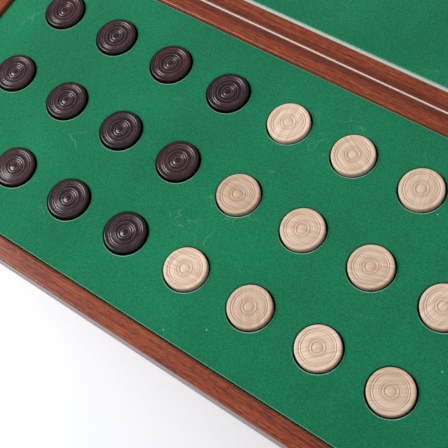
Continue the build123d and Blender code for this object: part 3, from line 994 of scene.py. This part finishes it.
class CHECKERS_OT_flocked_cover(bpy.types.Operator):
    """Model the plain flocked panel that shuts the far half"""

    bl_idname = "checkers.flocked_cover"
    bl_label = "Flocked Cover"

    def execute(self, context):
        settings = context.scene.checkers_flock
        low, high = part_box("far_cover_panel")
        panel = flat_panel(low, high)
        top, near = high.z, low.y
        bevel_end = near + settings.bevel_width
        bpy.ops.object.mode_set(mode="EDIT")
        bpy.ops.mesh.select_all(action="SELECT")
        bpy.ops.mesh.bisect(plane_co=(0, bevel_end, 0), plane_no=(0, 1, 0))
        select_edges(
            panel,
            lambda a, b: min(a.z, b.z) > top - TOUCHING and max(a.y, b.y) < near + TOUCHING,
        )
        bpy.ops.transform.translate(value=(0, 0, -settings.bevel_drop))

        def on_rim(a, b):
            """An edge round the top face, its bevelled seam side included."""
            in_side = abs(a.x - b.x) < TOUCHING and min(a.x - low.x, high.x - a.x) < TOUCHING
            in_back = min(a.y, b.y) > high.y - TOUCHING
            in_front = max(a.y, b.y) < near + TOUCHING
            above = min(a.z, b.z) > top - settings.bevel_drop - TOUCHING
            return above and (in_side or in_back or in_front)

        select_edges(panel, on_rim)
        bpy.ops.mesh.bevel(
            offset=settings.edge_round / 2, segments=3, profile=0.5, affect="EDGES"
        )
        bpy.ops.object.mode_set(mode="OBJECT")

        def worn(co):
            """All of the bevel is thin pile with a painted highlight, its cut face bare."""
            if co.y < near + settings.edge_round:
                return BARE_BOARD
            return BEVEL_WEAR_AND_HIGHLIGHT if co.y < bevel_end - TOUCHING else 0.0

        mark_edges(panel, worn)
        bpy.ops.object.shade_smooth_by_angle(angle=SMOOTH_BELOW)
        apply_modifier(panel, "WEIGHTED_NORMAL", weight=100)
        flock = green_flock("Green flock on cover", settings)
        finish_piece(panel, "flocked_cover", "far_half", flock, ["far_cover_panel"])
        return {"FINISHED"}


class CHECKERS_OT_rails(bpy.types.Operator):
    """Finish the stained rails of both halves"""

    bl_idname = "checkers.rails"
    bl_label = "Rails"

    def execute(self, context):
        settings = context.scene.checkers_rails
        along = stained_rail("Mahogany stain along the case", settings)
        across = stained_rail("Mahogany stain across the case", settings, along_y=True)
        seam = stained_rail("Mahogany stain at the seam", settings, at_seam=True)
        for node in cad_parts:
            if node.endswith("_seam_rail"):
                dress_node(node, seam)
            elif node.endswith("_rail"):
                dress_node(node, across if "left" in node or "right" in node else along)
        return {"FINISHED"}


class CHECKERS_OT_playing_face(bpy.types.Operator):
    """Finish the veneered board on the underside, its plywood and the bars inside"""

    bl_idname = "checkers.playing_face"
    bl_label = "Playing Face"

    def execute(self, context):
        board = context.scene.checkers_board
        rails = context.scene.checkers_rails
        square = board.square
        finishes = {
            "dark_squares": veneer("Walnut veneer", board.dark_square, linear("#2b1710"), square),
            "light_squares": veneer("Maple veneer", board.light_square, linear("#b98f5c"), square),
            "border_veneer": veneer("Stained border veneer", rails.stain, rails.stain_dark),
            "inlay_line": veneer("Pale stringing", board.inlay, linear("#b8975f")),
            "board_panel": birch_plywood("Birch plywood", board),
            "battens": planed_pine("Planed pine"),
        }
        for half in ("near", "far"):
            for part, material in finishes.items():
                dress_node(f"{half}_{part}", material)
        return {"FINISHED"}


class CHECKERS_OT_brass_fittings(bpy.types.Operator):
    """Finish the hinges, hooks, studs and screws"""

    bl_idname = "checkers.brass_fittings"
    bl_label = "Brass Fittings"

    def execute(self, context):
        brass = lacquered_brass("Lacquered brass", context.scene.checkers_brass)
        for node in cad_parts:
            if any(word in node for word in ("hinge", "hook", "stud")):
                dress_node(node, brass)
        return {"FINISHED"}


def soft_light(name, place, target, size, power):
    """A white square area light that looks at target."""
    data = bpy.data.lights.new(name, "AREA")
    data.size = size
    data.energy = power
    light = bpy.data.objects.new(name, data)
    bpy.context.scene.collection.objects.link(light)
    light.location = place
    light.rotation_euler = (Vector(target) - Vector(place)).to_track_quat("-Z", "Y").to_euler()


# Camera directions and focal length, from the same fit to the photograph's grid of checkers
CAMERA_RIGHT = Vector((0.8030, 0.5609, -0.2013))
CAMERA_UP = Vector((-0.4541, 0.7947, 0.4028))
CAMERA_BACK = Vector((0.3859, -0.2320, 0.8929))
LENS_MM = 79.27
SENSOR_MM = 36.0


class CHECKERS_OT_stage(bpy.types.Operator):
    """Lay the floor, hang the lights and set the camera"""

    bl_idname = "checkers.stage"
    bl_label = "Stage"

    def execute(self, context):
        settings = context.scene.checkers_stage
        bpy.ops.object.select_all(action="DESELECT")
        bpy.ops.mesh.primitive_plane_add(size=12)
        floor = bpy.context.object
        floor.name = "floor"
        material, _, _ = new_material(
            "Pale floor", {"Base Color": settings.floor, "Roughness": 0.6}
        )
        floor.data.materials.append(material)

        soft_light("key", place=(-0.80, -0.47, 0.80), target=(0, -0.08, 0), size=0.6, power=14.5)
        soft_light("fill", place=(1.6, -0.9, 1.3), target=(0, -0.05, 0), size=1.2, power=4)
        world = bpy.data.worlds.new("Studio")
        context.scene.world = world
        world.use_nodes = True
        background = world.node_tree.nodes["Background"]
        background.inputs["Color"].default_value = linear("#eef1fb")
        background.inputs["Strength"].default_value = 0.42
        context.scene.view_settings.view_transform = "Standard"

        data = bpy.data.cameras.new("photo_view")
        data.lens = LENS_MM
        data.sensor_width = SENSOR_MM
        camera = bpy.data.objects.new("photo_view", data)
        context.scene.collection.objects.link(camera)
        turn = Matrix((CAMERA_RIGHT, CAMERA_UP, CAMERA_BACK)).transposed().to_4x4()
        camera.matrix_world = Matrix.Translation(settings.camera_place) @ turn
        context.scene.camera = camera
        return {"FINISHED"}


OPERATORS = (
    CHECKERS_OT_rails,
    CHECKERS_OT_playing_face,
    CHECKERS_OT_flocked_insert,
    CHECKERS_OT_flocked_cover,
    CHECKERS_OT_turned_checkers,
    CHECKERS_OT_brass_fittings,
    CHECKERS_OT_stage,
)


class CHECKERS_PT_case(bpy.types.Panel):
    """The steps of the checkers case, in order."""

    bl_label = "Checkers Case"
    bl_idname = "CHECKERS_PT_case"
    bl_space_type = "VIEW_3D"
    bl_region_type = "UI"
    bl_category = "Checkers Case"

    def draw(self, context):
        for operator in OPERATORS:
            self.layout.operator(operator.bl_idname)


SETTINGS = {
    "checkers_discs": CheckerSettings,
    "checkers_flock": FlockSettings,
    "checkers_rails": RailSettings,
    "checkers_board": BoardSettings,
    "checkers_brass": BrassSettings,
    "checkers_stage": StageSettings,
}


def register():
    """Adds the settings, the operators and the panel to Blender."""
    for group in SETTINGS.values():
        bpy.utils.register_class(group)
    for name, group in SETTINGS.items():
        setattr(bpy.types.Scene, name, bpy.props.PointerProperty(type=group))
    for operator in OPERATORS:
        bpy.utils.register_class(operator)
    bpy.utils.register_class(CHECKERS_PT_case)


def unregister():
    """Takes the panel, the operators and the settings out again."""
    bpy.utils.unregister_class(CHECKERS_PT_case)
    for operator in reversed(OPERATORS):
        bpy.utils.unregister_class(operator)
    for name, group in SETTINGS.items():
        delattr(bpy.types.Scene, name)
        bpy.utils.unregister_class(group)


def main():
    """Builds the whole case."""
    register()
    bpy.ops.checkers.rails()
    bpy.ops.checkers.playing_face()
    bpy.ops.checkers.flocked_insert()
    bpy.ops.checkers.flocked_cover()
    bpy.ops.checkers.turned_checkers()
    bpy.ops.checkers.brass_fittings()
    bpy.ops.checkers.stage()


if __name__ == "__main__":
    main()
